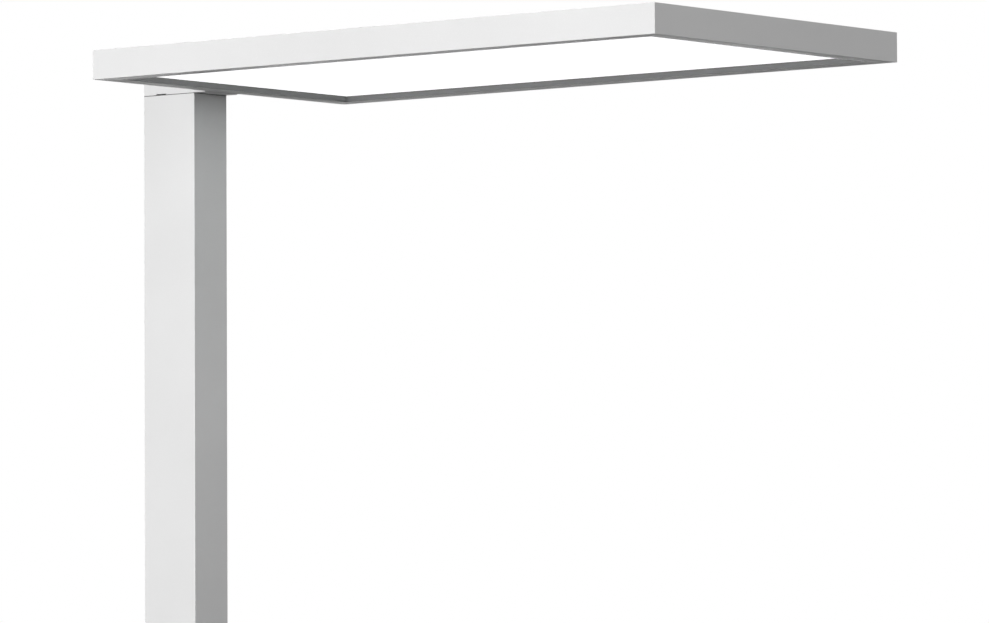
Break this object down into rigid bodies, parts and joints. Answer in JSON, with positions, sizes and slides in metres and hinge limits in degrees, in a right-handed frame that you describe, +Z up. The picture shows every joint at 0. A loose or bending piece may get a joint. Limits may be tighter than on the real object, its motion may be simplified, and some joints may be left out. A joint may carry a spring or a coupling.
{
  "type": "office floor lamp",
  "caption": "Slim rectangular LED head on a hollow arm at the top of an extruded column with a flat base plate; lights down and up, switched by push buttons on the column.",
  "frame": {"origin": "centre of the lamp's bounding box, on the floor", "axes": "+Z up; +X from the column towards the free end of the head; +Y across the head"},
  "size_m": [0.7596, 0.35, 1.95],
  "materials": {
    "silver_frame": "fine matt silver-grey coat on aluminium",
    "base_coat": "fine matt silver-grey powder coat on steel",
    "opal_panel": "satin opal acrylic, lit from within",
    "clear_acrylic": "clear acrylic plate",
    "white_film": "matt white film",
    "white_board": "white circuit board",
    "green_board": "green circuit board",
    "white_case": "white moulded case",
    "zinc_sheet": "bright zinc-coated steel sheet",
    "raw_aluminium": "sawn and drilled aluminium",
    "steel_screw": "zinc-plated steel",
    "black_plastic": "black moulded nylon",
    "dark_plastic": "fine-grained dark grey moulding",
    "button_plastic": "satin light grey moulding",
    "white_lead": "white lead sheath",
    "black_rubber": "black rubber",
    "rubber_pad": "dark grey rubber"
  },
  "bodies": {
    "lamp": {"base_plate": "base_coat", "base_pads": "rubber_pad", "foot_screws": "steel_screw", "column_tube": "silver_frame", "gland_body": "black_plastic", "gland_nut": "black_plastic", "gland_seal": "black_rubber", "gland_cap": "black_plastic", "driver_carrier": "zinc_sheet", "led_driver": "white_case", "driver_screws": "steel_screw", "control_bezel": "dark_plastic", "switch_board": "green_board", "tact_switches": "black_plastic", "board_screws": "steel_screw", "switch_lead": "white_lead", "arm_block": "silver_frame", "arm_cover": "silver_frame", "arm_cover_screws": "steel_screw", "column_screws": "steel_screw", "head_screws": "steel_screw", "head_lead": "white_lead", "lead_grommet": "black_rubber", "head_bracket": "raw_aluminium", "terminal_block": "white_case", "tray_leads": "white_lead", "head_front_rail": "silver_frame", "head_back_rail": "silver_frame", "head_tip_rail": "silver_frame", "head_mast_rail": "silver_frame", "corner_keys": "raw_aluminium", "corner_key_screws": "steel_screw", "diffuser_panel": "opal_panel", "light_guide": "clear_acrylic", "reflector_sheet": "white_film", "led_strip_front": "white_board", "led_strip_back": "white_board", "gear_tray": "zinc_sheet", "uplight_boards": "white_board", "uplight_lenses": "opal_panel", "top_cover": "silver_frame", "top_cover_screws": "steel_screw"},
    "downlight_button": {"downlight_button": "button_plastic"},
    "uplight_button": {"uplight_button": "button_plastic"}
  },
  "joints": [
    {"name": "downlight_button_press", "type": "slide", "parent": "lamp", "child": "downlight_button", "axis": [-1, 0, 0], "range_m": [0, 0.0012], "stiffness_N_per_m": 800, "springref_m": -0.001},
    {"name": "uplight_button_press", "type": "slide", "parent": "lamp", "child": "uplight_button", "axis": [-1, 0, 0], "range_m": [0, 0.0012], "stiffness_N_per_m": 800, "springref_m": -0.001}
  ]
}
